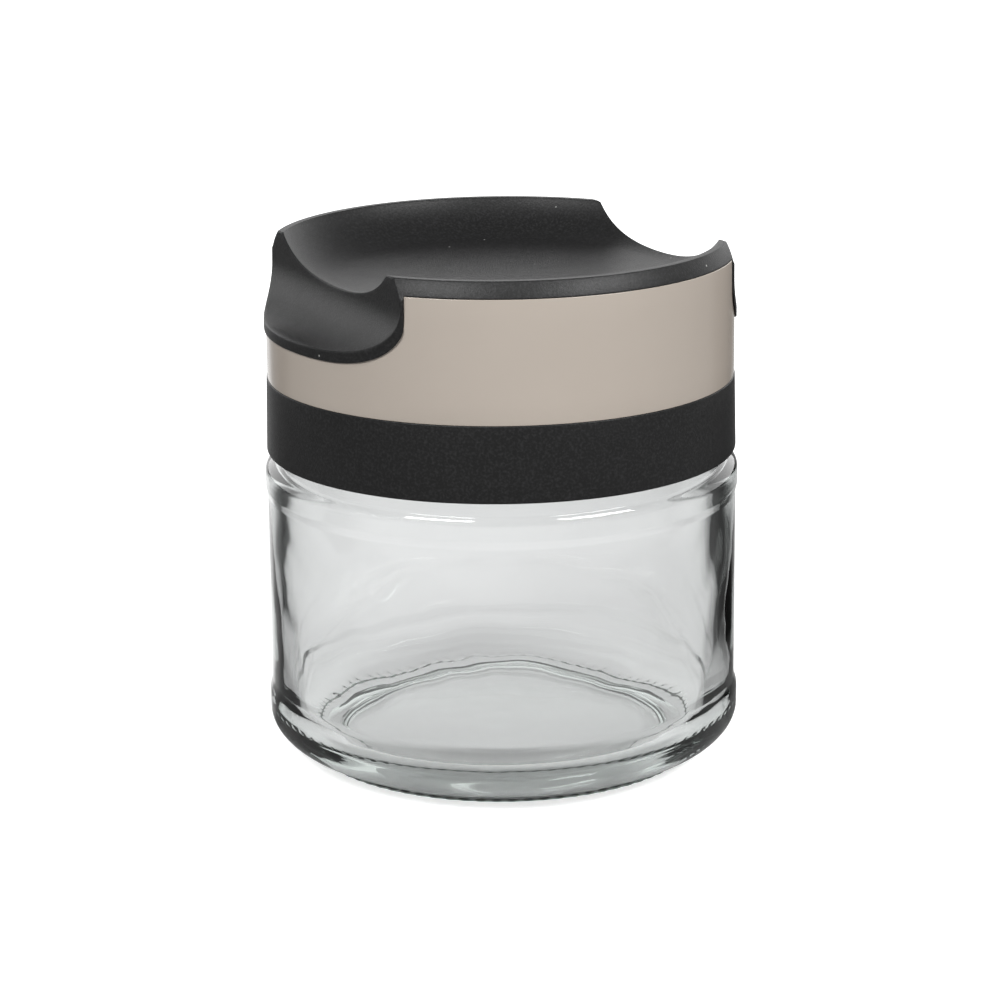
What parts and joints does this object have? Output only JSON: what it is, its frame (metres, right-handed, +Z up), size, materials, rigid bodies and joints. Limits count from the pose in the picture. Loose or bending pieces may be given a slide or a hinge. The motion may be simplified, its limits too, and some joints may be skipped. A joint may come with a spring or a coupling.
{
  "type": "spice jar",
  "caption": "Round clear glass storage jar with a screw lid: a black skirt, a colour band, and a dished black cover with a finger scoop on each side.",
  "frame": {"origin": "centre of the jar's base, on the surface it stands on", "axes": "+Z up along the jar's axis; the lid's finger scoops lie on +X and -X"},
  "size_m": [0.0962, 0.0962, 0.1058],
  "materials": {
    "glass": "clear",
    "black_plastic": "fine grain",
    "taupe_plastic": "gloss",
    "seal_white": "soft"
  },
  "bodies": {
    "jar": {"glass_jar": "glass"},
    "seal": {"seal_ring": "seal_white"},
    "lid": {"lid_core": "black_plastic", "colour_band": "taupe_plastic", "top_cover": "black_plastic"}
  },
  "joints": [
    {"name": "lid_lift", "type": "slide", "parent": "jar", "child": "seal", "axis": [0, 0, 1], "range_m": [0, 0.048]},
    {"name": "lid_turn", "type": "hinge", "parent": "seal", "child": "lid", "pos_m": [0, 0, 0.077], "axis": [0, 0, 1], "range_deg": [0, 720]}
  ],
  "couplings": [
    {"joint": "lid_lift", "follows": "lid_turn", "m_per_rad": 0.0038197}
  ]
}
